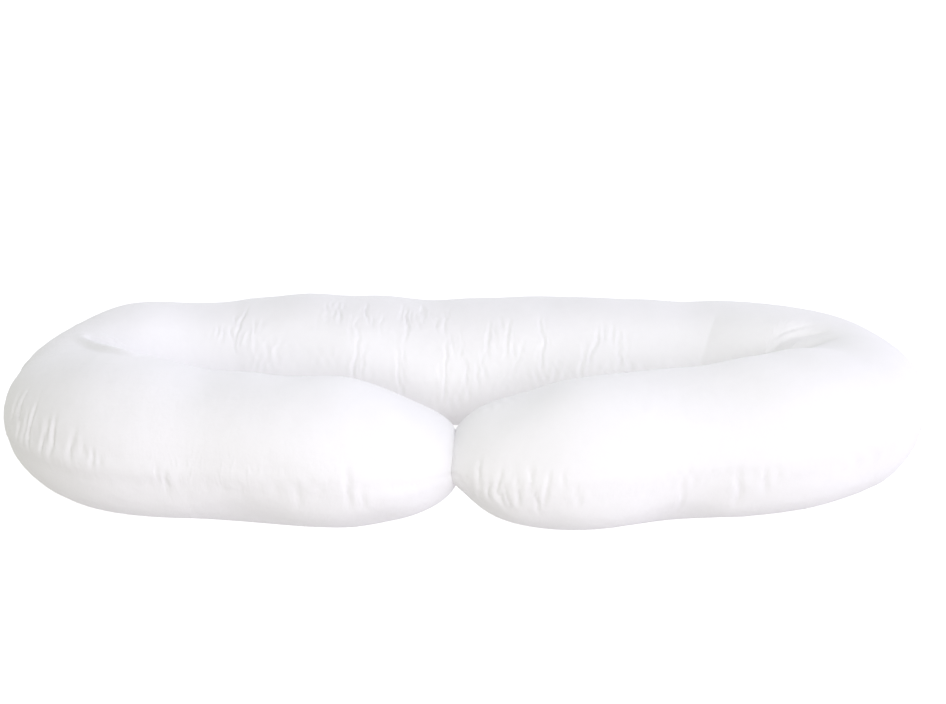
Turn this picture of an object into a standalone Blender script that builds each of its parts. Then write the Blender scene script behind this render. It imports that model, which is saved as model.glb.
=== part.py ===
"""Body pillow: one long stuffed cotton tube, lying on the floor in a closed C with its two ends pressed together.

Metres, +Z up. The origin is on the floor, in the middle of the pillow's footprint. +X runs along the straight back,
and the two arms come round at the front, -Y, and meet there. The pillow is one sewn and filled piece, so it is one
solid: rings of points are set square to a smooth centre line and joined into a closed skin.
"""

from collections import namedtuple

import bmesh
import bpy
import numpy as np

Section = namedtuple("Section", "place x y width height")
Crease = namedtuple("Crease", "place x1 y1 x2 y2 width depth")

# Where the tube's centre line runs on the floor, and the tube's size there, from one end round to the other.
SECTIONS = (
    Section("left end", -0.004, -0.166, 0.205, 0.180),
    Section("left shoulder", -0.117, -0.168, 0.215, 0.195),
    Section("left arm, front", -0.240, -0.166, 0.220, 0.207),
    Section("left arm", -0.373, -0.145, 0.220, 0.212),
    Section("left bend, front", -0.517, -0.114, 0.233, 0.218),
    Section("left bend", -0.614, -0.010, 0.218, 0.199),
    Section("left bend, back", -0.552, 0.125, 0.220, 0.210),
    Section("back, left dip", -0.414, 0.173, 0.215, 0.199),
    Section("back, left", -0.260, 0.174, 0.220, 0.216),
    Section("back, waist", -0.086, 0.170, 0.220, 0.206),
    Section("back, middle", 0.099, 0.168, 0.220, 0.210),
    Section("back, right", 0.283, 0.168, 0.220, 0.205),
    Section("right bend, start", 0.437, 0.162, 0.220, 0.205),
    Section("right bend, back", 0.558, 0.117, 0.220, 0.207),
    Section("right bend", 0.611, 0.015, 0.220, 0.207),
    Section("right bend, front", 0.529, -0.090, 0.232, 0.221),
    Section("right arm", 0.396, -0.135, 0.220, 0.213),
    Section("right arm, waist", 0.283, -0.151, 0.218, 0.209),
    Section("right arm, front", 0.160, -0.174, 0.219, 0.208),
    Section("right shoulder", 0.058, -0.174, 0.215, 0.187),
    Section("right end", -0.027, -0.170, 0.205, 0.176),
)

# Places where the bent tube buckles: a line on the plan that the skin is drawn in along. A negative depth is a
# roll, where the skin is pushed out.
CREASES = (
    Crease("left bend, inside", -0.470, 0.032, -0.600, 0.028, 0.024, 0.018),
    Crease("left bend, roll", -0.455, -0.002, -0.585, 0.000, 0.050, -0.009),
    Crease("left bend, behind", -0.480, 0.078, -0.560, 0.112, 0.024, 0.006),
    Crease("left dip, inside", -0.382, 0.075, -0.392, 0.150, 0.022, 0.007),
    Crease("right bend, inside", 0.470, 0.040, 0.590, 0.030, 0.022, 0.018),
    Crease("right bend, roll", 0.440, -0.002, 0.560, 0.004, 0.050, -0.006),
    Crease("right bend, behind", 0.480, 0.080, 0.575, 0.090, 0.020, 0.007),
    Crease("right bend, start", 0.448, 0.075, 0.438, 0.160, 0.026, 0.008),
)
CREASE_FADE = 0.035  # a crease dies away over this length past each end of its line
CREASE_LOWEST = 0.030  # creases fade to nothing between these two heights above the floor
CREASE_FULL = 0.090

# The tube's section. A superellipse exponent of 2 gives an ellipse, and a larger one gives fuller shoulders.
TOP_FULLNESS = 2.1
BELLY_FULLNESS = 2.7
BELLY_SAG = 0.004  # the belly would hang this far below the floor, and rests flat on it instead

# The closed ends, each pressed flat where it meets the other.
MEETING_X = -0.016
MEETING_GAP = 0.0016
END_LENGTH = 0.185  # the tube narrows to its end over this length
END_FULLNESS = 2.3

# How finely the skin is divided.
POINTS_ROUND = 32
RING_SPACING = 0.018
END_RINGS = 9
TANGENT_STEP = 0.0001

CASE_COLOUR = (0.92, 0.92, 0.93, 1.0)
CASE_ROUGHNESS = 0.85


def clear_scene():
    for item in list(bpy.data.objects):
        bpy.data.objects.remove(item, do_unlink=True)


def distances_between(rows):
    """How far along the centre line each section stands, measured straight from one to the next."""
    steps = np.linalg.norm(np.diff(rows[:, :2], axis=0), axis=1)
    return np.concatenate(([0.0], np.cumsum(steps)))


def spline_bends(stations, rows):
    """Second derivatives of the natural cubic spline through the sections."""
    count = len(stations)
    gaps = np.diff(stations)
    matrix = np.zeros((count, count))
    sides = np.zeros(rows.shape)
    matrix[0, 0] = 1.0
    matrix[-1, -1] = 1.0
    for k in range(1, count - 1):
        matrix[k, k - 1] = gaps[k - 1]
        matrix[k, k] = 2.0 * (gaps[k - 1] + gaps[k])
        matrix[k, k + 1] = gaps[k]
        after = (rows[k + 1] - rows[k]) / gaps[k]
        before = (rows[k] - rows[k - 1]) / gaps[k - 1]
        sides[k] = 6.0 * (after - before)
    return np.linalg.solve(matrix, sides)


class TubeLine:
    """The centre line with the tube's width and height, smooth through every section of the table."""

    def __init__(self, sections):
        self.rows = np.array([section[1:] for section in sections])
        self.stations = distances_between(self.rows)
        self.bends = spline_bends(self.stations, self.rows)
        self.length = self.stations[-1]

    def at(self, places):
        """Rows of x, y, width and height at these distances along the line."""
        last_span = len(self.stations) - 2
        span = np.clip(np.searchsorted(self.stations, places) - 1, 0, last_span)
        gap = self.stations[span + 1] - self.stations[span]
        before = ((self.stations[span + 1] - places) / gap)[:, None]
        after = ((places - self.stations[span]) / gap)[:, None]
        straight = before * self.rows[span] + after * self.rows[span + 1]
        bend_before = (before**3 - before) * self.bends[span]
        bend_after = (after**3 - after) * self.bends[span + 1]
        return straight + (bend_before + bend_after) * gap[:, None]**2 / 6.0

    def rightward(self, places):
        """Unit vectors on the plan, square to the line and pointing to its right."""
        ahead = self.at(places + TANGENT_STEP)[:, :2]
        behind = self.at(places - TANGENT_STEP)[:, :2]
        along = ahead - behind
        along /= np.linalg.norm(along, axis=1)[:, None]
        return np.stack((along[:, 1], -along[:, 0]), axis=1)


def ring_places(length):
    """Distances along the line of every ring, closer together towards the two ends."""
    angles = np.linspace(0.0, np.pi / 2.0, END_RINGS + 1)[1:-1]
    first_end = END_LENGTH * (1.0 - np.cos(angles))
    middle_length = length - 2.0 * END_LENGTH
    middle_count = int(round(middle_length / RING_SPACING)) + 1
    middle = np.linspace(END_LENGTH, length - END_LENGTH, middle_count)
    last_end = (length - first_end)[::-1]
    return np.concatenate((first_end, middle, last_end))


def end_rounding(places, length):
    """Share of its full size that the tube has at each place: 1 along the tube, falling to 0 at each tip."""
    from_tip = np.minimum(places, length - places)
    share = np.clip(from_tip / END_LENGTH, 0.0, 1.0)
    return (1.0 - (1.0 - share)**END_FULLNESS)**(1.0 / END_FULLNESS)


def section_outline():
    """One ring's outline, reaching 1 to each side, up and down."""
    angles = np.linspace(0.0, 2.0 * np.pi, POINTS_ROUND, endpoint=False)
    across = np.cos(angles)
    upward = np.sin(angles)
    power = np.where(upward >= 0.0, 2.0 / TOP_FULLNESS, 2.0 / BELLY_FULLNESS)
    across = np.sign(across) * np.abs(across)**power
    upward = np.sign(upward) * np.abs(upward)**power
    return across, upward


def smooth_step(value, low, high):
    share = np.clip((value - low) / (high - low), 0.0, 1.0)
    return share * share * (3.0 - 2.0 * share)


def crease_depth(points, crease):
    """How far this crease draws each point in towards the middle of the tube."""
    start = np.array((crease.x1, crease.y1))
    span = np.array((crease.x2, crease.y2)) - start
    length = np.linalg.norm(span)
    offset = points[..., :2] - start
    along = offset @ span / length
    aside = (offset[..., 0] * span[1] - offset[..., 1] * span[0]) / length
    past_end = np.maximum(np.maximum(-along, along - length), 0.0)
    across_share = np.exp(-((2.0 * aside / crease.width)**2))
    end_share = np.exp(-((past_end / CREASE_FADE)**2))
    height_share = smooth_step(points[..., 2], CREASE_LOWEST, CREASE_FULL)
    return crease.depth * across_share * end_share * height_share


def draw_in_creases(points, centres):
    depth = sum(crease_depth(points, crease) for crease in CREASES)
    inward = centres[:, None, :] - points
    reach = np.linalg.norm(inward, axis=2)
    share = depth / np.maximum(reach, 0.03)
    return points + inward * share[..., None]


def press_ends(points, tips):
    """Stops each arm at the meeting plane, so that the two ends stand flat against each other."""
    left_limit = MEETING_X - MEETING_GAP / 2.0
    right_limit = MEETING_X + MEETING_GAP / 2.0
    half = len(points) // 2
    left_arm = points[:half, :, 1] < 0.0
    right_arm = points[half:, :, 1] < 0.0
    left_x = points[:half, :, 0]
    right_x = points[half:, :, 0]
    left_x[left_arm] = np.minimum(left_x[left_arm], left_limit)
    right_x[right_arm] = np.maximum(right_x[right_arm], right_limit)
    tips[0, 0] = min(tips[0, 0], left_limit)
    tips[1, 0] = max(tips[1, 0], right_limit)


def skin_points():
    line = TubeLine(SECTIONS)
    places = ring_places(line.length)
    rows = line.at(places)
    rightward = line.rightward(places)
    rounding = end_rounding(places, line.length)
    across, upward = section_outline()
    half_width = rows[:, 2] * rounding / 2.0
    half_height = rows[:, 3] * rounding / 2.0 + BELLY_SAG / 2.0
    centres = np.column_stack((rows[:, 0], rows[:, 1], rows[:, 3] / 2.0))
    points = np.zeros((len(places), POINTS_ROUND, 3))
    points[..., 0] = rows[:, 0, None] + rightward[:, 0, None] * across * half_width[:, None]
    points[..., 1] = rows[:, 1, None] + rightward[:, 1, None] * across * half_width[:, None]
    points[..., 2] = centres[:, 2, None] - BELLY_SAG / 2.0 + upward * half_height[:, None]
    points = draw_in_creases(points, centres)
    points[..., 2] = np.maximum(points[..., 2], 0.0)
    end_rows = line.at(np.array((0.0, line.length)))
    tips = np.column_stack((end_rows[:, 0], end_rows[:, 1], end_rows[:, 3] / 2.0))
    press_ends(points, tips)
    return points, tips


def centre_footprint(points, tips):
    low = points.reshape(-1, 3).min(axis=0)
    high = points.reshape(-1, 3).max(axis=0)
    middle = (low + high) / 2.0
    middle[2] = low[2]
    return points - middle, tips - middle


def skin_faces(ring_count):
    faces = []
    for ring in range(ring_count - 1):
        here = ring * POINTS_ROUND
        there = here + POINTS_ROUND
        for k in range(POINTS_ROUND):
            after = (k + 1) % POINTS_ROUND
            faces.append((here + k, here + after, there + after, there + k))
    first_tip = ring_count * POINTS_ROUND
    last_tip = first_tip + 1
    last_ring = first_tip - POINTS_ROUND
    for k in range(POINTS_ROUND):
        after = (k + 1) % POINTS_ROUND
        faces.append((first_tip, after, k))
        faces.append((last_tip, last_ring + k, last_ring + after))
    return faces


def cotton():
    material = bpy.data.materials.new("white polycotton")
    material.use_nodes = True
    shader = material.node_tree.nodes["Principled BSDF"]
    shader.inputs["Base Color"].default_value = CASE_COLOUR
    shader.inputs["Roughness"].default_value = CASE_ROUGHNESS
    shader.inputs["Metallic"].default_value = 0.0
    return material


def face_outward(mesh):
    work = bmesh.new()
    work.from_mesh(mesh)
    bmesh.ops.recalc_face_normals(work, faces=work.faces)
    work.to_mesh(mesh)
    work.free()


def make_pillow():
    points, tips = skin_points()
    points, tips = centre_footprint(points, tips)
    corners = np.concatenate((points.reshape(-1, 3), tips))
    mesh = bpy.data.meshes.new("pillow_body")
    mesh.from_pydata(corners.tolist(), [], skin_faces(len(points)))
    face_outward(mesh)
    mesh.materials.append(cotton())
    mesh.shade_smooth()
    pillow = bpy.data.objects.new("pillow_body", mesh)
    bpy.context.scene.collection.objects.link(pillow)


clear_scene()
make_pillow()
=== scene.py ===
"""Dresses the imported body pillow: a stuffed cotton case with its sewn seam, gathers, folds and woven cloth.

Metres, +Z up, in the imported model's own frame. The case is one closed skin laid over the same centre line
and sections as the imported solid. The seam, the folds and soft high and low places are pressed into the skin
along its normals. Then the cloth, which is a little too long for its filling, settles, and last the two ends
are pressed together.

A point of the skin is named by its place, in metres along the centre line from the left end, and by its turn
round the tube, in degrees: 0 on the loop's inside, 90 on top, 180 on its outside and 270 under the belly.
"""

import math
from collections import namedtuple

import bpy
import numpy as np
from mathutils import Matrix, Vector


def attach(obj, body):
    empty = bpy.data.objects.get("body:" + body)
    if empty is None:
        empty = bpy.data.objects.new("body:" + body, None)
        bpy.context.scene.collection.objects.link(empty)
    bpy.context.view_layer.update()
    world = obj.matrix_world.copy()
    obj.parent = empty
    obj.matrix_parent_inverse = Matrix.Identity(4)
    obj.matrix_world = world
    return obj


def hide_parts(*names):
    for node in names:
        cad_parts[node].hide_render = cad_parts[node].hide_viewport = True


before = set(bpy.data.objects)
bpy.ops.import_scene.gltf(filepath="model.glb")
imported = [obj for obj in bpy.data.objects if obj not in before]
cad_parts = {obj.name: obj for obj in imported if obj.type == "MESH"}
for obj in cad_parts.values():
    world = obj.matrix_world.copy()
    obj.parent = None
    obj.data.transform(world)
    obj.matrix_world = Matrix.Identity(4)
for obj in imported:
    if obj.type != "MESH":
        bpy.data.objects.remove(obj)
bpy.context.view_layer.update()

Section = namedtuple("Section", "name x y width height")
Crease = namedtuple("Crease", "name x1 y1 x2 y2 width depth")
Crowding = namedtuple("Crowding", "name low high edge extra")
Swell = namedtuple("Swell", "place turn along round height")
Rise = namedtuple("Rise", "name start full fading end turn lean round height")
Fold = namedtuple("Fold", "path before after depth")
Waves = namedtuple("Waves", "height count shortest longest")
Loose = namedtuple("Loose", "name start end seam above below excess")
Taut = namedtuple("Taut", "name start end low high share")
EndShape = namedtuple("EndShape", "side slimming narrowing sinking reach push overlap rounding")
Light = namedtuple("Light", "name place power")

# Where the tube's centre line runs on the floor, and the tube's size there, from one end round to the
# other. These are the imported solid's own sections, repeated here because only the frame is read from disk.
SECTIONS = (
    Section("left end", -0.004, -0.166, 0.205, 0.180),
    Section("left shoulder", -0.117, -0.168, 0.215, 0.195),
    Section("left arm, front", -0.240, -0.166, 0.220, 0.207),
    Section("left arm", -0.373, -0.145, 0.220, 0.212),
    Section("left bend, front", -0.517, -0.114, 0.233, 0.218),
    Section("left bend", -0.614, -0.010, 0.218, 0.199),
    Section("left bend, back", -0.552, 0.125, 0.220, 0.210),
    Section("back, left dip", -0.414, 0.173, 0.215, 0.199),
    Section("back, left", -0.260, 0.174, 0.220, 0.216),
    Section("back, waist", -0.086, 0.170, 0.220, 0.206),
    Section("back, middle", 0.099, 0.168, 0.220, 0.210),
    Section("back, right", 0.283, 0.168, 0.220, 0.205),
    Section("right bend, start", 0.437, 0.162, 0.220, 0.205),
    Section("right bend, back", 0.558, 0.117, 0.220, 0.207),
    Section("right bend", 0.611, 0.015, 0.220, 0.207),
    Section("right bend, front", 0.529, -0.090, 0.232, 0.221),
    Section("right arm", 0.396, -0.135, 0.220, 0.213),
    Section("right arm, waist", 0.283, -0.151, 0.218, 0.209),
    Section("right arm, front", 0.160, -0.174, 0.219, 0.208),
    Section("right shoulder", 0.058, -0.174, 0.215, 0.187),
    Section("right end", -0.027, -0.170, 0.205, 0.176),
)
# Of the solid's creases one is kept, shallower: a line on the plan that the skin is drawn in along. Pleats
# and tucks stand for the others.
DIP = Crease("left dip, inside", -0.382, 0.075, -0.392, 0.150, 0.030, 0.0015)
CREASE_FADE = 0.035  # a crease dies away over this length past each end of its line
CREASE_LOWEST = 0.030  # creases fade to nothing between these two heights above the floor
CREASE_FULL = 0.090
CREASE_NEAREST = 0.03  # points closer to the middle of the tube than this are drawn in less

# The tube's section. A superellipse exponent of 2 gives an ellipse, and a larger one gives fuller
# shoulders. The round belly would reach below the floor by its sag, and is pressed flat there.
TOP_FULLNESS = 2.1
BELLY_FULLNESS = 2.7
BELLY_SAG = 0.004
# How the tube's two ends are rounded.
END_LENGTH = 0.185
END_FULLNESS = 2.3
# Where the solid's two ends meet, and the gap between them there.
MEETING_X = -0.016
MEETING_GAP = 0.0016
# How finely the solid's footprint is worked out, along and round the tube.
SOLID_RINGS = 1200
SOLID_TURN_STEP = 3.0

INNER = 0.0  # the turn of the inner seam
OUTER = 180.0  # the turn of the outer seam
WHOLE_TURN = 360.0
TANGENT_STEP = 0.0001
METRES_PER_DEGREE = 0.00185  # how far round the tube one degree is
MM_PER_METRE = 1000.0
TINY = 1e-12

# The skin's rings, and its points round each ring. Between a low and a high place or turn they stand closer
# together, or further apart where the extra is negative.
RINGS = 1080
POINTS_ROUND = 92
FIRST_TURN = -20.0
TURN_CROWDING = (
    Crowding("inside and top", -8.0, 86.0, 8.0, 1.1),
    Crowding("outer seam", 166.0, 194.0, 6.0, 0.5),
    Crowding("belly", 212.0, 332.0, 8.0, -0.65),
)
PLACE_CROWDING = (
    Crowding("left bend", 0.48, 0.62, 0.03, 1.4),
    Crowding("back", 0.93, 1.64, 0.03, 0.6),
    Crowding("right bend", 1.76, 2.08, 0.03, 0.5),
    Crowding("right end", 2.57, 2.71, 0.03, 0.5),
)
BEND_CROWDING = 0.05  # for each radian that the tube turns in a metre
END_CROWDING = 0.55  # over the rounded ends
TIP_CROWDING = 0.20  # close to the very tips
NEAREST_TIP = 1e-5
# In how many samples the crowding is worked out, round a ring and along the tube.
TURN_SAMPLES = 3601
PLACE_SAMPLES = 6001

# The seam between the upper and the lower panel: a groove between two rounded edges.
SEAM_DEPTH = 0.0012
SEAM_HALF_WIDTH = 0.0030
SEAM_EDGE = 0.0030
SEAM_EDGE_REACH = 0.028

# Soft high and low places: where, how far they reach along and round in metres, and how high they are.
SWELLS = (
    Swell(0.300, 70, 0.110, 0.110, -0.0055),
    Swell(0.385, 78, 0.050, 0.100, -0.0065),
    Swell(0.185, 78, 0.045, 0.100, 0.0045),
    Swell(0.080, 80, 0.055, 0.100, -0.0080),
    Swell(0.560, 76, 0.060, 0.060, 0.0040),
    Swell(2.720, 80, 0.035, 0.100, 0.0070),
    Swell(2.625, 78, 0.050, 0.100, -0.0060),
    Swell(2.480, 78, 0.090, 0.100, -0.0035),
    Swell(2.300, 78, 0.050, 0.100, 0.0045),
    Swell(2.140, 80, 0.040, 0.080, -0.0050),
    Swell(0.270, 218, 0.085, 0.055, -0.0100),
    Swell(0.130, 218, 0.045, 0.055, -0.0060),
    Swell(0.035, 212, 0.045, 0.060, -0.0050),
    Swell(2.695, 216, 0.045, 0.055, -0.0080),
    Swell(2.615, 218, 0.045, 0.055, -0.0035),
    Swell(2.440, 218, 0.060, 0.055, -0.0095),
    Swell(2.190, 205, 0.060, 0.060, -0.0060),
    Swell(0.580, 180, 0.100, 0.050, -0.0035),
    Swell(0.600, 215, 0.050, 0.050, -0.0015),
    Swell(0.664, 138, 0.035, 0.045, -0.0045),
    Swell(2.060, 180, 0.080, 0.050, -0.0035),
    Swell(2.120, 208, 0.050, 0.050, -0.0025),
    Swell(0.800, 105, 0.060, 0.100, 0.0040),
    Swell(0.995, 100, 0.035, 0.100, 0.0035),
    Swell(1.160, 100, 0.050, 0.100, -0.0045),
    Swell(1.600, 100, 0.060, 0.100, 0.0020),
    Swell(1.745, 100, 0.045, 0.100, -0.0040),
    Swell(2.000, 110, 0.080, 0.100, -0.0025),
)
# Where a bend bunches the filling up, the skin rises over a short stretch and falls again over a longer
# one. The rise leans by so many metres a degree, and reaches so far round the tube.
RISES = (
    Rise("right bend, inside", 1.770, 1.860, 1.930, 2.050, 46, 0.0006, 0.052, 0.0170),
)

# A fold follows a path of places and turns. Then come its widths on the two sides of the path and its depth,
# in millimetres. The first width is towards the left end, or downwards on the outside for a fold that runs
# along the tube. A negative depth is a ridge. First the folds of the back.
FOLDS = (
    # back, left: the waist and the short folds beside it
    Fold(((0.994, 84), (0.988, 66), (0.981, 46), (0.979, 38)), 3.1, 3.9, 2.6),
    Fold(((0.999, 50), (0.994, 36)), 3.1, 3.1, -1.1),
    Fold(((0.945, 58), (0.946, 46)), 3.1, 3.1, 1.5),
    Fold(((1.014, 62), (1.012, 48)), 3.1, 3.1, 1.1),
    # back, inside: upright folds
    Fold(((1.131, 80), (1.136, 56)), 3.5, 3.5, 1.5),
    Fold(((1.152, 82), (1.155, 66), (1.158, 52)), 3.5, 3.5, 1.8),
    Fold(((1.186, 60), (1.188, 42)), 3.1, 3.1, 1.3),
    Fold(((1.197, 84), (1.201, 66), (1.205, 52)), 3.5, 3.5, 2.1),
    Fold(((1.211, 64), (1.213, 48)), 3.1, 3.1, 1.1),
    Fold(((1.189, 46), (1.190, 27), (1.183, 14), (1.180, -6)), 3.5, 3.1, 2.0),
    Fold(((1.264, 82), (1.266, 58), (1.268, 38)), 3.9, 3.5, 2.5),
    Fold(((1.251, 32), (1.256, 14), (1.260, -6)), 3.5, 3.1, 2.0),
    Fold(((1.292, 88), (1.294, 72), (1.296, 58)), 3.9, 3.5, 1.8),
    Fold(((1.330, 72), (1.332, 46)), 3.5, 3.1, 1.6),
    Fold(((1.334, 42), (1.333, 20), (1.331, -8)), 3.5, 3.1, 2.1),
    Fold(((1.358, 40), (1.359, 18)), 3.1, 3.1, 1.3),
    Fold(((1.363, 26), (1.366, 10), (1.370, -6)), 3.1, 3.1, 1.8),
    Fold(((1.383, 22), (1.387, -2)), 3.1, 3.1, 1.3),
    Fold(((1.407, 62), (1.401, 42), (1.403, 24)), 3.5, 3.1, 2.1),
    Fold(((1.437, 60), (1.436, 44), (1.429, 26)), 3.9, 3.1, 2.6),
    Fold(((1.438, 44), (1.444, 24)), 3.1, 3.1, 1.5),
    Fold(((1.489, 66), (1.486, 48), (1.491, 34), (1.488, 16)), 3.5, 3.1, 2.1),
    Fold(((1.583, 54), (1.576, 36), (1.565, 20)), 3.9, 3.9, 2.3),
    Fold(((1.607, 56), (1.605, 38)), 3.5, 3.5, 2.0),
    Fold(((1.616, 40), (1.615, 16)), 3.9, 3.9, 1.6),
)
# Gathers that cross the outer seam or climb from it.
GATHERS = (
    # left bend, outside: gathers that climb from the seam
    Fold(((0.605, 140), (0.606, 152), (0.603, 166)), 3.0, 3.0, 1.8),
    Fold(((0.595, 136), (0.593, 150), (0.589, 162), (0.590, 180)), 3.0, 3.0, 2.4),
    Fold(((0.578, 148), (0.578, 162), (0.576, 180)), 2.6, 2.6, 1.8),
    Fold(((0.568, 142), (0.566, 153), (0.569, 165), (0.567, 182)), 3.0, 3.0, 2.5),
    Fold(((0.543, 154), (0.544, 163), (0.549, 172), (0.550, 181)), 3.0, 4.5, 2.5),
    Fold(((0.535, 150), (0.533, 164), (0.535, 181)), 3.0, 3.2, 2.2),
    Fold(((0.508, 158), (0.509, 167), (0.513, 177)), 3.5, 4.0, 1.9),
    Fold(((0.497, 166), (0.497, 175)), 3.0, 3.0, 1.4),
    Fold(((0.489, 169), (0.488, 178)), 4.0, 4.0, 2.0),
    Fold(((0.476, 172), (0.475, 179)), 4.0, 4.0, 1.4),
    # right end: gathers across the seam
    Fold(((2.693, 150), (2.694, 166), (2.693, 181)), 3.0, 3.0, 1.5),
    Fold(((2.682, 174), (2.686, 184), (2.680, 193)), 3.0, 3.0, 1.6),
    Fold(((2.668, 165), (2.672, 181), (2.666, 188), (2.658, 198)), 3.0, 3.0, 2.2),
    Fold(((2.662, 177), (2.658, 188), (2.650, 198)), 3.0, 3.0, 2.0),
    Fold(((2.646, 171), (2.645, 183), (2.643, 193)), 3.0, 3.5, 1.8),
    Fold(((2.631, 163), (2.631, 178), (2.624, 186), (2.618, 197)), 3.0, 3.0, 2.4),
    Fold(((2.611, 166), (2.610, 189)), 3.0, 3.0, 2.0),
    Fold(((2.595, 166), (2.594, 178)), 3.0, 3.0, 1.2),
    Fold(((2.580, 179), (2.579, 191)), 3.5, 3.5, 1.0),
    # right arm
    Fold(((2.441, 186), (2.436, 208)), 4.0, 9.0, 1.6),
    Fold(((2.359, 177), (2.358, 190), (2.353, 206)), 3.5, 3.5, 2.0),
    Fold(((2.326, 177), (2.322, 186), (2.318, 194)), 3.5, 3.5, 1.8),
    Fold(((2.309, 175), (2.307, 185)), 3.5, 3.5, 1.4),
    # left arm
    Fold(((0.160, 163), (0.160, 178), (0.158, 193)), 3.5, 3.5, 2.2),
    Fold(((0.142, 181), (0.141, 193)), 3.5, 3.5, 1.2),
    Fold(((0.221, 182), (0.222, 195)), 4.0, 4.0, 1.2),
    Fold(((0.400, 176), (0.401, 191)), 3.5, 3.5, 1.5),
    Fold(((0.411, 176), (0.412, 187)), 3.5, 3.5, 1.4),
)

# Pleats and hollows that stay straight while the cloth round them wanders.
PLEATS = (
    # left bend, inside: the rolled ridge along the arm's top, the light ridge above its edge, and the tuck
    # between them
    Fold(((0.702, 90), (0.662, 77), (0.610, 72), (0.560, 74), (0.505, 76)), 9.0, 9.0, -9.0),
    Fold(((0.704, 88), (0.710, 78), (0.713, 71), (0.717, 64), (0.723, 57), (0.736, 48)), 5.0, 6.0, -2.6),
    Fold(((0.696, 86), (0.692, 74), (0.694, 62), (0.704, 50), (0.720, 36)), 8.0, 8.0, 3.2),
    # right bend, inside: two thin ridges and the deep tuck behind the arm's top
    Fold(((1.903, 40), (1.935, 50), (1.961, 60), (1.982, 72)), 2.4, 2.4, -1.5),
    Fold(((1.886, 37), (1.918, 45), (1.944, 55), (1.962, 66), (1.975, 76)), 3.5, 2.4, 1.4),
    Fold(((1.898, 32), (1.926, 41), (1.950, 49), (1.973, 58), (1.992, 68), (2.008, 77)), 28.0, 26.0, 6.5),
    Fold(((1.900, 33), (1.926, 41), (1.950, 49), (1.973, 58), (1.992, 68), (2.004, 75)), 2.8, 12.0, 2.6),
    # the outer seam where the left bend stands on it
    Fold(((0.430, 180), (0.500, 180.5), (0.560, 180.5), (0.620, 180)), 5.0, 14.0, -4.0),
    Fold(((0.200, 180), (0.330, 180), (0.450, 180)), 5.0, 14.0, -2.0),
)

# Where the cloth is too long for the filling and gathers: a stretch of seam, how far above and below it in
# metres, and by what share the cloth is too long.
LOOSE = (
    Loose("left arm, outside", -0.02, 0.46, OUTER, 0.010, 0.030, 0.022),
    Loose("left bend, outside", 0.46, 0.64, OUTER, 0.050, 0.012, 0.030),
    Loose("left bend, behind", 0.66, 0.96, OUTER, 0.090, 0.060, 0.060),
    Loose("back, outside", 0.96, 1.80, OUTER, 0.050, 0.045, 0.045),
    Loose("right bend, behind", 1.80, 2.12, OUTER, 0.080, 0.060, 0.060),
    Loose("right arm, outside", 2.12, 2.56, OUTER, 0.015, 0.035, 0.030),
    Loose("right end, outside", 2.56, 2.78, OUTER, 0.030, 0.040, 0.035),
    Loose("left arm, inside", -0.02, 0.48, INNER, 0.040, 0.050, 0.045),
    Loose("left bend, inside", 0.48, 0.80, INNER, 0.045, 0.080, 0.050),
    Loose("back, inside", 1.00, 1.74, INNER, 0.060, 0.040, 0.030),
    Loose("right bend, inside", 1.92, 2.22, INNER, 0.040, 0.080, 0.050),
    Loose("right arm, inside", 2.22, 2.78, INNER, 0.040, 0.050, 0.045),
)
# Where the cloth is drawn tight over the filling: a stretch along and a stretch round the tube, and the
# share of each move of the cloth that is taken back there, fading over an edge.
TAUT = (
    Taut("right bend, pleats", 1.88, 2.12, 22, 95, 0.30),
    Taut("left bend, tuck", 0.66, 0.76, 30, 95, 0.05),
)
TAUT_EDGE = 0.015
TAUT_EDGE_DEG = 8.0

# How folds are cut: how far from its path a fold is worked out, in widths, how it tapers towards its ends,
# how high the lips beside it are, and how far the cloth is crinkled, in widths.
FOLD_MARGIN = 3.5
TAPER_START = 0.04
TAPER_LENGTH = 0.92
TAPER_POWER = 0.7
LIP_SHARE = 0.6
CRINKLE_WIDTHS = 2.5
FAR_AWAY = 1e9

# The short small folds that lie beside each fold of the back: the least of each measure, and what chance
# may add.
COMPANION_SEED = 11
COMPANIONS = 3
COMPANION_ASIDE = (0.006, 0.010)
COMPANION_REACH_DEG = (5.0, 9.0)
COMPANION_DEPTH = (0.25, 0.45)
COMPANION_LEAN = 0.004
COMPANION_BOW = 0.3
COMPANION_WIDTH = 3.0

# Soft random unevenness: how high, from how many waves, and the shortest and longest wave. The warp moves
# folds along the tube, the lumps are in the filling, and the patches make the cloth looser here and there.
WARP = Waves(0.0014, 40, 0.025, 0.06)
FINE_WARP = Waves(0.0009, 60, 0.012, 0.025)
WARP_SEED = 5
LUMPS = Waves(0.0008, 24, 0.10, 0.30)
LUMP_SEED = 7
PATCHES = Waves(1.0, 16, 0.06, 0.20)
PATCH_SEED = 23

# How much too long the cloth is apart from the loose stretches, and how patches change it.
LOOSE_EVERYWHERE = 0.003
LOOSE_PATCHES = 0.010
LOOSE_PATCH_FROM = 0.4
PATCH_SHARE = 0.5
LOOSE_EDGE = 0.03  # each loose stretch fades in and out over this
SEAM_SIDE = 0.16  # what lies further from a seam than this belongs to the other one
SEAM_TIGHTNESS = 0.010

# Over what heights above the floor, and over what lengths from the tips, relief grows from nothing to full.
FOLD_HEIGHTS = (0.001, 0.030)
SWELL_HEIGHTS = (0.0, 0.010)
RELIEF_FROM_TIPS = (0.0, 0.02)

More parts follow.
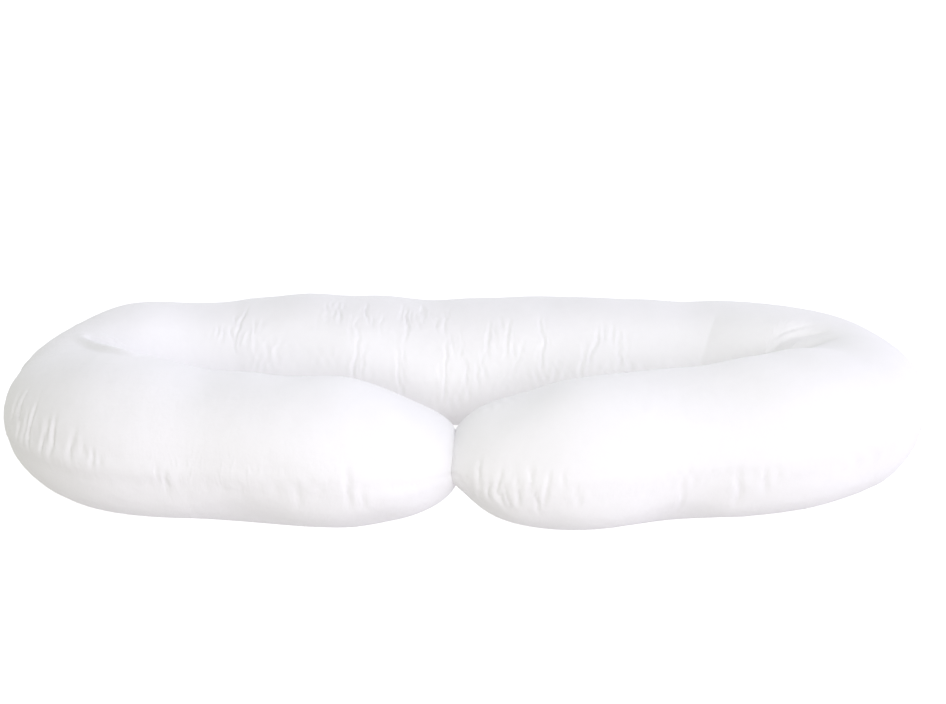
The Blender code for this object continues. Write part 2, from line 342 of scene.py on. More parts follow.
# How the cloth settles: the pull of threads on each other, and the share of each move that the filling
# takes back. On the floor and at the tips the cloth is held, and it comes free between the two heights or
# lengths given.
SETTLE_STEPS = 420
STRETCH_STIFFNESS = 0.9
SHEAR_STIFFNESS = 0.15
BENDING = 0.010
FILLING_AT_SEAM = 0.006
FILLING_AWAY = 0.0015
FILLING_REACH = 0.030
FREE_HEIGHTS = (0.001, 0.012)
FREE_FROM_TIPS = (0.010, 0.030)
NOISE_HEIGHT = 0.00035
NOISE_SEED = 41

# How the two ends press against each other: the line where they meet, and how far it bulges to the left
# between its top and its bottom. For each end: how much its height and its width shrink and how much it
# sinks towards its tip, over what length, how far it is pushed past the line, how deep it is then pressed
# flat, and how softly it rounds over. The side is -1 for the left end and 1 for the right end.
MEET_X = -0.0190
MEET_BULGE = 0.0008
MEET_BULGE_MIDDLE = 0.105
MEET_BULGE_REACH = 0.035
PUSH_REACH = 0.10
END_SHAPES = (
    EndShape(-1.0, 0.029, 0.029, 0.043, 0.074, 0.0010, 0.0066, 0.0060),
    EndShape(1.0, 0.500, 0.080, 0.057, 0.038, 0.0118, 0.0038, 0.0034),
)

# The cotton: the distance between its threads, and its relief for shading, all in metres.
THREAD_PITCH = 0.0006
WAVE_TEXTURE_SCALE = 20.0  # Blender's wave texture multiplies its coordinates by this
WEAVE_RELIEF = 0.00005
CRINKLE_RELIEF = 0.0010
SAG_RELIEF = 0.0016
CRINKLED_ALL_OVER = 0.10  # the share of a fold's crinkles that the smooth cloth has
CRINKLE_STRETCH = (1.0, 0.35, 1.0)
# The darkest and the lightest white, and at what share of the tone's noise each is reached.
DARK_WHITE = (0.914, 0.913, 0.914, 1.0)
DARK_WHITE_AT = 0.3
LIGHT_WHITE = (0.942, 0.941, 0.943, 1.0)
LIGHT_WHITE_AT = 0.7
BETWEEN_THREADS = 0.975
SMOOTHEST = 0.80
ROUGHEST = 0.92

# The floor: half its side, how far it lies under the pillow, its white, and how strongly it glows.
FLOOR_HALF = 30.0
FLOOR_DROP = 0.0005
FLOOR_WHITE = (0.95, 0.95, 0.95, 1.0)
FLOOR_GLOW = 0.45
# The light from all round: for red, green and blue its level and how it grows towards +x, +y and +z.
WORLD_LEVELS = (
    (0.53, (-0.21, 0.20, -0.15)),
    (0.52, (-0.23, 0.22, -0.14)),
    (0.55, (-0.12, 0.23, -0.13)),
)
# Large soft lights: the direction each shines from and its strength.
SOFTBOXES = (
    ((1.0, 0.0, 0.0), 1.25),
    ((0.0, 1.0, 0.0), 0.96),
)
# Two area lights in front, and where both are aimed.
LIGHTS = (
    Light("high_light", (1.6, -3.2, 2.6), 42.0),
    Light("front_light", (0.2, -3.2, 1.2), 38.0),
)
LIGHT_SIZE = 1.4
LIGHT_TARGET = (0.0, 0.0, 0.1)

# The photograph's viewpoint.
CAMERA_PLACE = (0.0093, -1.598, 0.830)
CAMERA_PITCH_DEG = 22.0
FOCAL_PIXELS = 1100.0
IMAGE_WIDTH = 946.0
SENSOR_WIDTH_MM = 36.0


def running_total(steps):
    """What the steps add up to before the first and after each one."""
    return np.concatenate(([0.0], np.cumsum(steps)))


def halfway(values):
    """The means of neighbouring values."""
    return (values[1:] + values[:-1]) / 2.0


def smooth_step(value, low, high):
    share = np.clip((value - low) / (high - low), 0.0, 1.0)
    return share * share * (3.0 - 2.0 * share)


def band(values, low, high, edge):
    """1 between low and high, fading to 0 over the edge on both sides of each."""
    up = smooth_step(values, low - edge, low + edge)
    return up * (1.0 - smooth_step(values, high - edge, high + edge))


def turn_from(turns, turn):
    """How far these turns are from another one, the short way round."""
    half = WHOLE_TURN / 2.0
    return (turns - turn + half) % WHOLE_TURN - half


def spline_bends(stations, rows):
    """Second derivatives of the natural cubic spline through the sections."""
    count = len(stations)
    gaps = np.diff(stations)
    matrix = np.zeros((count, count))
    sides = np.zeros(rows.shape)
    matrix[0, 0] = 1.0
    matrix[-1, -1] = 1.0
    for k in range(1, count - 1):
        matrix[k, k - 1] = gaps[k - 1]
        matrix[k, k] = 2.0 * (gaps[k - 1] + gaps[k])
        matrix[k, k + 1] = gaps[k]
        after = (rows[k + 1] - rows[k]) / gaps[k]
        before = (rows[k] - rows[k - 1]) / gaps[k - 1]
        sides[k] = 6.0 * (after - before)
    return np.linalg.solve(matrix, sides)


class TubeLine:
    """The centre line with the tube's width and height, smooth through every section of the table."""

    def __init__(self, sections):
        self.rows = np.array([section[1:] for section in sections])
        self.stations = running_total(np.linalg.norm(np.diff(self.rows[:, :2], axis=0), axis=1))
        self.bends = spline_bends(self.stations, self.rows)
        self.length = self.stations[-1]

    def at(self, places):
        """The x, y, width and height at each place."""
        last_span = len(self.stations) - 2
        span = np.clip(np.searchsorted(self.stations, places) - 1, 0, last_span)
        gap = self.stations[span + 1] - self.stations[span]
        before = ((self.stations[span + 1] - places) / gap)[:, None]
        after = ((places - self.stations[span]) / gap)[:, None]
        straight = before * self.rows[span] + after * self.rows[span + 1]
        bend_before = (before**3 - before) * self.bends[span]
        bend_after = (after**3 - after) * self.bends[span + 1]
        return straight + (bend_before + bend_after) * gap[:, None]**2 / 6.0

    def rightward(self, places):
        """Unit vectors on the plan, square to the line and towards the loop's inside."""
        ahead = self.at(places + TANGENT_STEP)[:, :2]
        behind = self.at(places - TANGENT_STEP)[:, :2]
        along = ahead - behind
        along /= np.linalg.norm(along, axis=1)[:, None]
        return np.stack((along[:, 1], -along[:, 0]), axis=1)


def end_rounding(places, length):
    """The share of its full width and height that the tube has at each place."""
    from_tip = np.minimum(places, length - places)
    share = np.clip(from_tip / END_LENGTH, 0.0, 1.0)
    return (1.0 - (1.0 - share)**END_FULLNESS)**(1.0 / END_FULLNESS)


def crease_depth(points, crease):
    """How deep the crease is at each point."""
    start = np.array((crease.x1, crease.y1))
    span = np.array((crease.x2, crease.y2)) - start
    length = np.linalg.norm(span)
    offset = points[..., :2] - start
    along = offset @ span / length
    aside = (offset[..., 0] * span[1] - offset[..., 1] * span[0]) / length
    past_end = np.maximum(np.maximum(-along, along - length), 0.0)
    across_share = np.exp(-((2.0 * aside / crease.width)**2))
    end_share = np.exp(-((past_end / CREASE_FADE)**2))
    height_share = smooth_step(points[..., 2], CREASE_LOWEST, CREASE_FULL)
    return crease.depth * across_share * end_share * height_share


def draw_in(points, centres, crease):
    """The points, drawn in towards the middle of the tube along a crease."""
    inward = centres[:, None, :] - points
    reach = np.linalg.norm(inward, axis=2)
    share = crease_depth(points, crease) / np.maximum(reach, CREASE_NEAREST)
    return points + inward * share[..., None]


def press_solid_ends(points, tips):
    """Presses the two ends flat against the gap between them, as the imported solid's are."""
    half = len(points) // 2
    sides = (
        (points[:half], np.minimum, MEETING_X - MEETING_GAP / 2.0),
        (points[half:], np.maximum, MEETING_X + MEETING_GAP / 2.0),
    )
    for number, (arm, nearer, limit) in enumerate(sides):
        in_front = arm[..., 1] < 0.0
        arm[in_front, 0] = nearer(arm[in_front, 0], limit)
        tips[number, 0] = nearer(tips[number, 0], limit)


def plain_skin(line, places, turns):
    """The smooth skin before the seam and the folds, as rows of rings, and the points at its two tips."""
    rows = line.at(places)
    rightward = line.rightward(places)
    rounding = end_rounding(places, line.length)
    across = np.cos(turns)
    upward = np.sin(turns)
    power = np.where(upward >= 0.0, 2.0 / TOP_FULLNESS, 2.0 / BELLY_FULLNESS)
    across = np.sign(across) * np.abs(across)**power
    upward = np.sign(upward) * np.abs(upward)**power
    half_width = rows[:, 2] * rounding / 2.0
    half_height = rows[:, 3] * rounding / 2.0 + BELLY_SAG / 2.0
    centres = np.column_stack((rows[:, 0], rows[:, 1], rows[:, 3] / 2.0))
    points = np.zeros((len(places), len(turns), 3))
    for axis in (0, 1):
        points[..., axis] = rows[:, axis, None] + rightward[:, axis, None] * across * half_width[:, None]
    points[..., 2] = centres[:, 2, None] - BELLY_SAG / 2.0 + upward * half_height[:, None]
    end_rows = line.at(np.array((0.0, line.length)))
    tips = np.column_stack((end_rows[:, 0], end_rows[:, 1], end_rows[:, 3] / 2.0))
    return draw_in(points, centres, DIP), tips


def crowded(density, values, crowdings):
    """The density of points with these crowdings added to it."""
    for crowding in crowdings:
        density = density + crowding.extra * band(values, crowding.low, crowding.high, crowding.edge)
    return density


def turns_round():
    """The turn of each point round a ring, from under the inner seam over the top to the belly."""
    fine = np.linspace(FIRST_TURN, FIRST_TURN + WHOLE_TURN, TURN_SAMPLES)
    amount = running_total(halfway(crowded(1.0, fine, TURN_CROWDING)))
    return np.interp(np.arange(POINTS_ROUND) / POINTS_ROUND * amount[-1], amount, fine)


def ring_places(line):
    """Places of the rings, closer together where folds are fine, in the bends and towards the tips."""
    fine = np.linspace(0.0, line.length, PLACE_SAMPLES)
    heading = line.rightward(fine)
    turning = np.abs(np.gradient(np.unwrap(np.arctan2(heading[:, 1], heading[:, 0])), fine))
    tip_share = np.minimum(fine, line.length - fine) / END_LENGTH
    density = crowded(1.0 + BEND_CROWDING * turning, fine, PLACE_CROWDING)
    density += END_CROWDING * np.clip(1.0 - tip_share, 0.0, 1.0)**2
    density *= np.maximum(1.0, TIP_CROWDING / np.sqrt(np.clip(tip_share, NEAREST_TIP, 1.0)))
    amount = running_total(halfway(density) * np.diff(fine))
    return np.interp(np.linspace(0.0, amount[-1], RINGS + 2)[1:-1], amount, fine)


def outward(points):
    """Unit normals of the skin, pointing out."""
    along = np.gradient(points, axis=0)
    round_ring = (np.roll(points, -1, axis=1) - np.roll(points, 1, axis=1)) / 2.0
    normals = np.cross(round_ring, along)
    normals /= np.maximum(np.linalg.norm(normals, axis=2), TINY)[..., None]
    middle = points.mean(axis=1)[:, None, :]
    return normals if ((points - middle) * normals).sum() > 0.0 else -normals


class Skin:
    """The smooth skin, with the measures that the folds need at each of its points."""

    def __init__(self):
        self.line = TubeLine(SECTIONS)
        self.places = ring_places(self.line)
        self.turns = turns_round()
        self.points, self.tips = plain_skin(self.line, self.places, np.radians(self.turns))
        self.normals = outward(self.points)
        along = np.linalg.norm(np.gradient(self.points, axis=0), axis=2)
        self.stretch = along / np.gradient(self.places)[:, None]  # metres of skin for each metre of place
        self.measure_round()
        self.crumple = np.zeros(self.arcs.shape)
        rng = np.random.default_rng(WARP_SEED)
        self.warp = waves(self, WARP, rng) + waves(self, FINE_WARP, rng)

    def measure_round(self):
        """Distances round each ring: from its inner seam, and how far a point lies above each seam."""
        steps = np.linalg.norm(np.roll(self.points, -1, axis=1) - self.points, axis=2)
        arcs = np.cumsum(steps, axis=1) - steps
        girth = steps.sum(axis=1)[:, None]
        half = girth / 2.0
        inner, outer = (int(np.argmin(np.abs(self.turns - turn))) for turn in (INNER, OUTER))
        self.seams = (inner, outer)
        self.arcs = arcs - arcs[:, inner:inner + 1]
        self.above_inner = (self.arcs + half) % girth - half
        self.above_outer = (arcs[:, outer:outer + 1] - arcs + half) % girth - half

    def from_seams(self):
        return np.minimum(np.abs(self.above_inner), np.abs(self.above_outer))

    def from_tips(self):
        return np.minimum(self.places, self.line.length - self.places)[:, None]


def swell_height(skin, swell):
    """A soft round hill or hollow."""
    along = (skin.places[:, None] - swell.place) * skin.stretch / swell.along
    round_ring = turn_from(skin.turns, swell.turn)[None, :] * METRES_PER_DEGREE / swell.round
    return swell.height * np.exp(-(along**2 + round_ring**2))


def rise_height(skin, rise):
    """A step up in the skin along the tube that dies away again."""
    turns = turn_from(skin.turns, rise.turn)
    share = (skin.places[:, None] - rise.start - rise.lean * turns[None, :]) / (rise.full - rise.start)
    up = np.sin(np.pi / 2.0 * np.clip(share, 0.0, 1.0))
    down = 1.0 - smooth_step(skin.places, rise.fading, rise.end)
    near = np.exp(-((turns * METRES_PER_DEGREE / rise.round)**2))
    return rise.height * up * down[:, None] * near[None, :]


def at_least(least_and_more, rng):
    """A random measure, from its least value up."""
    least, more = least_and_more
    return least + more * rng.random()


def companions(fold, rng):
    """Short small folds beside a fold, so that the cloth looks crumpled there."""
    path = np.array(fold.path, dtype=float)
    places, turns = path[np.argsort(path[:, 1])].T
    for _ in range(COMPANIONS):
        aside = rng.choice((-1.0, 1.0)) * at_least(COMPANION_ASIDE, rng)
        turn = at_least((turns[0], turns[-1] - turns[0]), rng)
        reach = at_least(COMPANION_REACH_DEG, rng)
        lean = COMPANION_LEAN * rng.standard_normal()
        place = np.interp(turn, turns, places) + aside
        corners = (
            (place - lean, turn - reach),
            (place + COMPANION_BOW * lean, turn),
            (place + lean, turn + reach),
        )
        depth = fold.depth * at_least(COMPANION_DEPTH, rng)
        yield Fold(corners, COMPANION_WIDTH, COMPANION_WIDTH, depth)


def follow(u, v, corners):
    """How far each point is from the path through the corners, on which side, and how far along it."""
    lengths = np.linalg.norm(np.diff(corners, axis=0), axis=1)
    reached = running_total(lengths)
    nearest = np.full(u.shape, FAR_AWAY)
    side = np.zeros(u.shape)
    share = np.zeros(u.shape)
    for start, stop, length, before in zip(corners[:-1], corners[1:], lengths, reached):
        span = (stop - start) / length
        du = u - start[0]
        dv = v - start[1]
        along = np.clip(du * span[0] + dv * span[1], 0.0, length)
        gap = np.hypot(du - along * span[0], dv - along * span[1])
        closer = gap < nearest
        nearest = np.where(closer, gap, nearest)
        side = np.where(closer, du * span[1] - dv * span[0], side)
        share = np.where(closer, (before + along) / reached[-1], share)
    return nearest, side, share


def add_fold(depth, skin, fold, warp=None):
    """Adds one fold to the depths: a valley with a low lip on each side, tapering at both ends."""
    path = np.array(fold.path, dtype=float)
    before = fold.before / MM_PER_METRE
    after = fold.after / MM_PER_METRE
    margin = FOLD_MARGIN * max(before, after)
    first, last = np.searchsorted(skin.places, (path[:, 0].min() - margin, path[:, 0].max() + margin))
    if last - first < 2:
        return
    near = slice(first, last)
    middle = path[len(path) // 2]
    scale = np.array((skin.stretch[near].mean(), METRES_PER_DEGREE))
    moved = skin.places[near, None] + (0.0 if warp is None else warp[near])
    u = np.broadcast_to((moved - middle[0]) * scale[0], skin.stretch[near].shape)
    v = turn_from(skin.turns, middle[1])[None, :] * scale[1]
    corners = (path - middle) * scale
    nearest, side, share = follow(u, v, corners)
    if corners[-1, 1] < corners[0, 1]:
        side = -side
    width = np.where(side < 0.0, before, after)
    taper = np.sin(np.pi * np.clip(TAPER_START + TAPER_LENGTH * share, 0.0, 1.0))**TAPER_POWER
    crumpled = taper * np.exp(-((nearest / (CRINKLE_WIDTHS * width))**2))
    skin.crumple[near] = np.maximum(skin.crumple[near], crumpled)
    scaled = (nearest / width)**2
    depth[near] += fold.depth / MM_PER_METRE * taper * (1.0 - LIP_SHARE * scaled) * np.exp(-scaled)


def waves(skin, kind, rng):
    """Soft random unevenness of the skin, the sum of waves in all directions."""
    height = np.zeros(skin.arcs.shape)
    for _ in range(kind.count):
        wavelength = kind.shortest * (kind.longest / kind.shortest)**rng.random()
        heading = math.tau * rng.random()
        phase = math.tau * rng.random()
        across = skin.places[:, None] * np.cos(heading) + skin.above_inner * np.sin(heading)
        height += np.sin(math.tau / wavelength * across + phase)
    return kind.height * height / math.sqrt(kind.count / 2.0)


def seam_depth(skin):
    """A groove along both seams, between edges that stand a little proud."""
    gap = skin.from_seams()
    groove = SEAM_DEPTH * np.exp(-((gap / SEAM_HALF_WIDTH)**2))
    edge = SEAM_EDGE * np.exp(-gap / SEAM_EDGE_REACH)
    return groove - edge


def spare_cloth(skin):
    """How much too long the cloth is along the tube at each point, as a share."""
    spare = np.full(skin.arcs.shape, LOOSE_EVERYWHERE)
    for zone in LOOSE:
        above = skin.above_inner if zone.seam == INNER else skin.above_outer
        reach = np.where(above > 0.0, zone.above, zone.below)
        along = band(skin.places, zone.start, zone.end, LOOSE_EDGE)
        near = np.exp(-((above / reach)**2)) * (np.abs(above) < SEAM_SIDE)
        spare = np.maximum(spare, zone.excess * along[:, None] * near)
    patches = waves(skin, PATCHES, np.random.default_rng(PATCH_SEED))
    return spare * (1.0 + PATCH_SHARE * patches) + LOOSE_PATCHES * np.maximum(patches - LOOSE_PATCH_FROM, 0.0)


def pull_pairs(first, second, rest, stiffness):
    """Moves pairs of points towards their resting distance apart. Both arrays are changed in place."""
    gap = second - first
    length = np.sqrt(np.einsum("ijk,ijk->ij", gap, gap))
    share = 0.5 * stiffness * (length - rest) / np.maximum(length, TINY)
    gap *= share[..., None]
    first += gap
    second -= gap


def pull_rows(cloth, turned, rest, stiffness):
    """Moves each ring of points and the next one towards their resting distance, in two rounds of pairs."""
    for start in (0, 1):
        pull_pairs(cloth[start:-1:2], turned[start + 1::2], rest[start::2], stiffness)


def distances(first, second):
    return np.linalg.norm(second - first, axis=2)


def taken_back(skin, shape):
    """The share of each move of the cloth that the filling, the floor and the tips take back."""
    at_seam = np.exp(-skin.from_seams() / FILLING_REACH)
    filling = FILLING_AWAY + (FILLING_AT_SEAM - FILLING_AWAY) * at_seam
    filling = np.maximum(filling, 1.0 - smooth_step(skin.from_tips(), *FREE_FROM_TIPS))
    filling = np.maximum(filling, 1.0 - smooth_step(shape[..., 2], *FREE_HEIGHTS))
    for zone in TAUT:
        along = band(skin.places, zone.start, zone.end, TAUT_EDGE)
        around = band(skin.turns, zone.low, zone.high, TAUT_EDGE_DEG)
        filling = np.maximum(filling, zone.share * along[:, None] * around)
    return filling[..., None]


def settle(skin, shape, spare):
    """Lets the cloth, which is a little too long for the filling, find its own gathers and folds."""
    rng = np.random.default_rng(NOISE_SEED)
    cloth = shape + skin.normals * (NOISE_HEIGHT * rng.standard_normal(spare.shape))[..., None]
    steps = distances(shape[:-1], shape[1:])
    lengthways = steps * (1.0 + halfway(spare))
    for seam in skin.seams:
        lengthways[:, seam] = steps[:, seam] * (1.0 - SEAM_TIGHTNESS)
    rolled = np.roll(shape, -1, axis=1)
    crossways = distances(shape, rolled)
    slanting = np.sqrt(distances(shape[:-1], rolled[1:])**2 + lengthways**2 - steps**2)
    kept = 1.0 - taken_back(skin, shape)
    for _ in range(SETTLE_STEPS):
        pull_rows(cloth, cloth, lengthways, STRETCH_STIFFNESS)
        pull_pairs(cloth[:, 0::2], cloth[:, 1::2], crossways[:, 0::2], STRETCH_STIFFNESS)
        turned = np.roll(cloth, -1, axis=1)
        pull_pairs(turned[:, 0::2], turned[:, 1::2], crossways[:, 1::2], STRETCH_STIFFNESS)
        cloth = np.roll(turned, 1, axis=1)
        pull_rows(cloth, turned, slanting, SHEAR_STIFFNESS)
        moved = (cloth + np.roll(turned, 1, axis=1)) / 2.0 - shape
        bend = moved[:-4] - 4.0 * moved[1:-3] + 6.0 * moved[2:-2] - 4.0 * moved[3:-1] + moved[4:]
        moved[2:-2] -= BENDING * bend
        cloth = shape + moved * kept
    return cloth


def meet_ends(skin, points, tips):
    """Presses the two ends softly against each other: they round over towards the line where they meet."""
    half = len(points) // 2
    for number, (rows, shape) in enumerate(zip((slice(0, half), slice(half, None)), END_SHAPES)):
        ends = points[rows]
        from_tip = skin.from_tips()[rows]
        near_tip = np.exp(-((from_tip / shape.reach)**2))
        middle = ends.mean(axis=1, keepdims=True)
        ends[..., 1] += (middle[..., 1] - ends[..., 1]) * shape.narrowing * near_tip
        ends[..., 2] += (middle[..., 2] - ends[..., 2]) * shape.slimming * near_tip
        ends[..., 2] *= 1.0 - shape.sinking * near_tip
        pushed = ends[..., 0] - shape.side * shape.push * np.exp(-((from_tip / PUSH_REACH)**2))
        bulge = MEET_BULGE * np.exp(-(((ends[..., 2] - MEET_BULGE_MIDDLE) / MEET_BULGE_REACH)**2))
        face = MEET_X - bulge - shape.side * shape.overlap
        past_face = shape.side * (pushed - face) / shape.rounding
        kept = face + shape.side * shape.rounding * np.logaddexp(0.0, past_face)
        ends[..., 0] = np.where(ends[..., 1] < 0.0, kept, ends[..., 0])
        tips[number, 0] = MEET_X - MEET_BULGE - shape.side * shape.overlap


def relief(skin):
    """How far each point moves outwards for the seam, the folds and the high and low places."""
    depth = seam_depth(skin)
    rng = np.random.default_rng(COMPANION_SEED)
    for fold in FOLDS:
        add_fold(depth, skin, fold, skin.warp)
        for small in companions(fold, rng):
            add_fold(depth, skin, small, skin.warp)
    for gather in GATHERS:
        add_fold(depth, skin, gather, skin.warp)
    for pleat in PLEATS:
        add_fold(depth, skin, pleat)
    for rise in RISES:
        depth -= rise_height(skin, rise)
    depth -= waves(skin, LUMPS, np.random.default_rng(LUMP_SEED))
    height = skin.points[..., 2]
    swollen = sum(swell_height(skin, swell) for swell in SWELLS) * smooth_step(height, *SWELL_HEIGHTS)
    moved = swollen - depth * smooth_step(height, *FOLD_HEIGHTS)
    return moved * smooth_step(skin.from_tips(), *RELIEF_FROM_TIPS)


def dressed_skin():
    """The skin, and the place of each of its points once it is folded and settled."""
    skin = Skin()
    shape = skin.points + skin.normals * relief(skin)[..., None]
    shape = settle(skin, shape, spare_cloth(skin))
    shape[..., 2] = np.maximum(shape[..., 2], 0.0)
    meet_ends(skin, shape, skin.tips)
    return skin, shape


def centring():
    """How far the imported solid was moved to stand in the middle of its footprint."""
    line = TubeLine(SECTIONS)
    places = np.linspace(0.0, line.length, SOLID_RINGS)[1:-1]
    points, tips = plain_skin(line, places, np.radians(np.arange(0.0, WHOLE_TURN, SOLID_TURN_STEP)))
    press_solid_ends(points, tips)
    points = points.reshape(-1, 3)
    return (points.min(axis=0) + points.max(axis=0)) / 2.0 * (1.0, 1.0, 0.0)


def skin_faces(ring_count, points_round):
    """Quads between the rings, and triangles that close the two tips."""
    ring = np.arange(ring_count - 1)[:, None] * points_round
    following = ring + points_round
    here = np.arange(points_round)
    after = (here + 1) % points_round
    quads = np.stack((ring + here, following + here, following + after, ring + after), axis=2)
    faces = quads.reshape(-1, 4).tolist()
    first_tip = ring_count * points_round
    last_ring = first_tip - points_round
    for point, neighbour in zip(here.tolist(), after.tolist()):
        faces.append((first_tip, point, neighbour))
        faces.append((first_tip + 1, last_ring + neighbour, last_ring + point))
    return faces


def new_node(tree, kind, **values):
    """A shader node with these properties, and these values on its input sockets."""
    node = tree.nodes.new(kind)
    for name, value in values.items():
        if name in node.inputs:
            node.inputs[name].default_value = value
        else:
            setattr(node, name, value)
    return node


def worked_out(tree, operation, first, second):
    """The output of a math node whose inputs are numbers or the outputs of other nodes."""
    node = new_node(tree, "ShaderNodeMath", operation=operation)
    for socket, value in zip(node.inputs, (first, second)):
        if isinstance(value, float):
            socket.default_value = value
        else:
            tree.links.new(value, socket)
    return node.outputs["Value"]


def remapped(tree, value, low, high):
    """A value from 0 to 1, turned into one from low to high."""
    node = tree.nodes.new("ShaderNodeMapRange")
    node.inputs["To Min"].default_value = low
    node.inputs["To Max"].default_value = high
    tree.links.new(value, node.inputs["Value"])
    return node.outputs["Result"]


def threads(tree, cloth, direction):
    """One set of threads, as bands 0 to 1 across this direction, a little uneven as spun yarn is."""
    bands = new_node(tree, "ShaderNodeTexWave", bands_direction=direction,
                     Scale=math.tau / WAVE_TEXTURE_SCALE / THREAD_PITCH, Distortion=1.2, Detail=1.0)
    bands.inputs["Detail Scale"].default_value = 0.05
    tree.links.new(cloth, bands.inputs["Vector"])
    return bands.outputs["Fac"]


def bump(tree, height, distance, below=None):
    """Normals for shading, with this height on top of the relief below it."""
    node = new_node(tree, "ShaderNodeBump", Strength=1.0, Distance=distance)
    tree.links.new(height, node.inputs["Height"])
    if below is not None:
        tree.links.new(below, node.inputs["Normal"])
    return node.outputs["Normal"]


def cloth_relief(tree, cloth, place, weave):
    """The normals for shading: uneven filling, crinkles where the cloth is folded, and the weave."""
    stretched = new_node(tree, "ShaderNodeVectorMath", operation="MULTIPLY")
    stretched.inputs[1].default_value = CRINKLE_STRETCH
    tree.links.new(cloth, stretched.inputs[0])
    crinkle = new_node(tree, "ShaderNodeTexNoise", noise_type="RIDGED_MULTIFRACTAL", Scale=110.0, Detail=3.0,
                       Roughness=0.6, Distortion=0.4)
    tree.links.new(stretched.outputs["Vector"], crinkle.inputs["Vector"])
    crumple = new_node(tree, "ShaderNodeAttribute", attribute_name="crumple").outputs["Fac"]
    crinkles = worked_out(tree, "MULTIPLY", crinkle.outputs["Fac"], crumple)
    sag = new_node(tree, "ShaderNodeTexNoise", Scale=28.0, Detail=4.0, Roughness=0.55)
    tree.links.new(place, sag.inputs["Vector"])
    normal = bump(tree, sag.outputs["Fac"], SAG_RELIEF)
    normal = bump(tree, crinkles, CRINKLE_RELIEF, normal)
    return bump(tree, weave, WEAVE_RELIEF, normal)


def cloth_colour(tree, tone, weave):
    """White that varies softly with the tone and is a little darker between the threads."""
    whites = new_node(tree, "ShaderNodeValToRGB")
    steps = ((DARK_WHITE_AT, DARK_WHITE), (LIGHT_WHITE_AT, LIGHT_WHITE))
    for element, (position, white) in zip(whites.color_ramp.elements, steps):
        element.position = position
        element.color = white
    tree.links.new(tone, whites.inputs["Fac"])
    shaded = new_node(tree, "ShaderNodeMix", data_type="RGBA", blend_type="MULTIPLY", Factor=1.0)
    tree.links.new(whites.outputs["Color"], shaded.inputs["A"])
    tree.links.new(remapped(tree, weave, BETWEEN_THREADS, 1.0), shaded.inputs["B"])
    return shaded.outputs["Result"]


def cotton_material():
    """White cotton: a plain weave with uneven yarn, crinkles where it is folded, and a soft sheen."""
    material = bpy.data.materials.new("white_cotton")
    material.use_nodes = True
    tree = material.node_tree
    shader = tree.nodes["Principled BSDF"]
    shader.inputs["Sheen Weight"].default_value = 0.10
    shader.inputs["Sheen Roughness"].default_value = 0.5
    shader.inputs["Specular IOR Level"].default_value = 0.25
    cloth = new_node(tree, "ShaderNodeAttribute", attribute_name="cloth").outputs["Vector"]
    place = tree.nodes.new("ShaderNodeTexCoord").outputs["Object"]
    weave = worked_out(tree, "MULTIPLY", threads(tree, cloth, "X"), threads(tree, cloth, "Y"))
    tree.links.new(cloth_relief(tree, cloth, place, weave), shader.inputs["Normal"])
    tone = new_node(tree, "ShaderNodeTexNoise", Scale=9.0, Detail=5.0, Roughness=0.6)
    tree.links.new(place, tone.inputs["Vector"])
    tree.links.new(cloth_colour(tree, tone.outputs["Fac"], weave), shader.inputs["Base Color"])
    roughness = remapped(tree, tone.outputs["Fac"], SMOOTHEST, ROUGHEST)
    tree.links.new(roughness, shader.inputs["Roughness"])
    return material


def add_values(mesh, name, kind, key, values):
    """Gives each point of the skin a value, and the two tips a value of nothing."""
    values = np.concatenate((values, np.zeros((2,) + values.shape[1:])))
    mesh.attributes.new(name, kind, "POINT").data.foreach_set(key, values.ravel())


def make_pillow():
    """The dressed case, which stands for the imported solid."""
    skin, points = dressed_skin()
    corners = np.concatenate((points.reshape(-1, 3), skin.tips)) - centring()
    mesh = bpy.data.meshes.new("pillow_case")
    mesh.from_pydata(corners.tolist(), [], skin_faces(*points.shape[:2]))
    mesh.validate()
    cloth = np.zeros(points.shape)
    cloth[..., 0] = skin.places[:, None]
    cloth[..., 1] = skin.arcs
    add_values(mesh, "cloth", "FLOAT_VECTOR", "vector", cloth.reshape(-1, 3))
    crumple = CRINKLED_ALL_OVER + (1.0 - CRINKLED_ALL_OVER) * skin.crumple
    add_values(mesh, "crumple", "FLOAT", "value", crumple.ravel())
    mesh.materials.append(cotton_material())
    mesh.shade_smooth()
    pillow = bpy.data.objects.new("pillow_case", mesh)
    bpy.context.scene.collection.objects.link(pillow)
    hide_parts("pillow_body")
    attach(pillow, "root")


def make_floor():
    """A plain white floor that is bright by itself, so that it shows no shadow, and lights nothing."""
    mesh = bpy.data.meshes.new("floor")
    square = ((-1.0, -1.0), (1.0, -1.0), (1.0, 1.0), (-1.0, 1.0))
    mesh.from_pydata([(x * FLOOR_HALF, y * FLOOR_HALF, -FLOOR_DROP) for x, y in square], [], [(0, 1, 2, 3)])
    material = bpy.data.materials.new("floor_white")
    material.use_nodes = True
    shader = material.node_tree.nodes["Principled BSDF"]
    shader.inputs["Base Color"].default_value = FLOOR_WHITE
    shader.inputs["Roughness"].default_value = 1.0
    shader.inputs["Specular IOR Level"].default_value = 0.0
    shader.inputs["Emission Color"].default_value = (1.0, 1.0, 1.0, 1.0)
    shader.inputs["Emission Strength"].default_value = FLOOR_GLOW
    mesh.materials.append(material)
    floor = bpy.data.objects.new("floor", mesh)
    floor.visible_diffuse = False
    bpy.context.scene.collection.objects.link(floor)


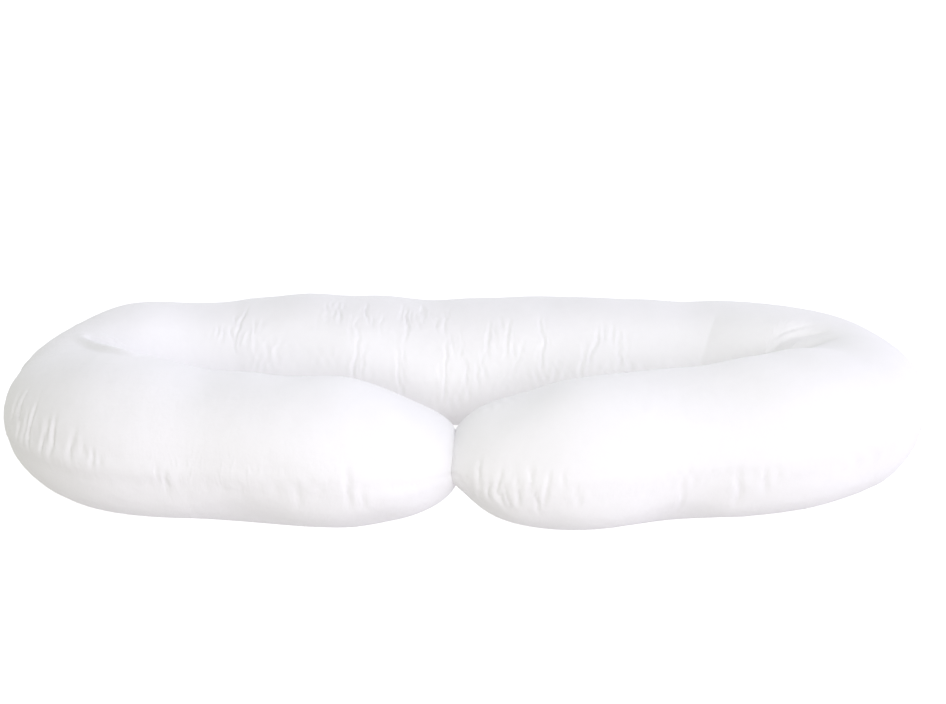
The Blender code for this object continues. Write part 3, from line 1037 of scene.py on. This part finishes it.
def make_world():
    """Soft light from all round, with a large soft light on the right and one behind."""
    world = bpy.data.worlds.new("studio")
    world.use_nodes = True
    tree = world.node_tree
    place = tree.nodes.new("ShaderNodeTexCoord").outputs["Generated"]

    def facing(direction):
        node = new_node(tree, "ShaderNodeVectorMath", operation="DOT_PRODUCT")
        node.inputs[1].default_value = direction
        tree.links.new(place, node.inputs[0])
        return node.outputs["Value"]

    boxes = 0.0
    for direction, strength in SOFTBOXES:
        front = worked_out(tree, "MAXIMUM", facing(direction), 0.0)
        lobe = worked_out(tree, "MULTIPLY", front, front)
        boxes = worked_out(tree, "ADD", boxes, worked_out(tree, "MULTIPLY", lobe, strength))
    mixed = tree.nodes.new("ShaderNodeCombineColor")
    for channel, (level, slope) in zip(mixed.inputs, WORLD_LEVELS):
        around = worked_out(tree, "ADD", facing(slope), level)
        tree.links.new(worked_out(tree, "ADD", around, boxes), channel)
    tree.links.new(mixed.outputs["Color"], tree.nodes["Background"].inputs["Color"])
    bpy.context.scene.world = world


def make_light(kind):
    lamp = bpy.data.lights.new(kind.name, "AREA")
    lamp.shape = "SQUARE"
    lamp.size = LIGHT_SIZE
    lamp.energy = kind.power
    light = bpy.data.objects.new(kind.name, lamp)
    light.location = kind.place
    aim = Vector(LIGHT_TARGET) - Vector(kind.place)
    light.rotation_euler = aim.to_track_quat("-Z", "Y").to_euler()
    bpy.context.scene.collection.objects.link(light)


def make_camera():
    data = bpy.data.cameras.new("camera")
    data.sensor_width = SENSOR_WIDTH_MM
    data.lens = FOCAL_PIXELS / IMAGE_WIDTH * SENSOR_WIDTH_MM
    camera = bpy.data.objects.new("camera", data)
    camera.location = CAMERA_PLACE
    camera.rotation_euler = (math.radians(90.0 - CAMERA_PITCH_DEG), 0.0, 0.0)
    bpy.context.scene.collection.objects.link(camera)
    bpy.context.scene.camera = camera


make_camera()
make_world()
for kind in LIGHTS:
    make_light(kind)
make_floor()
make_pillow()
bpy.context.scene.view_settings.view_transform = "Standard"
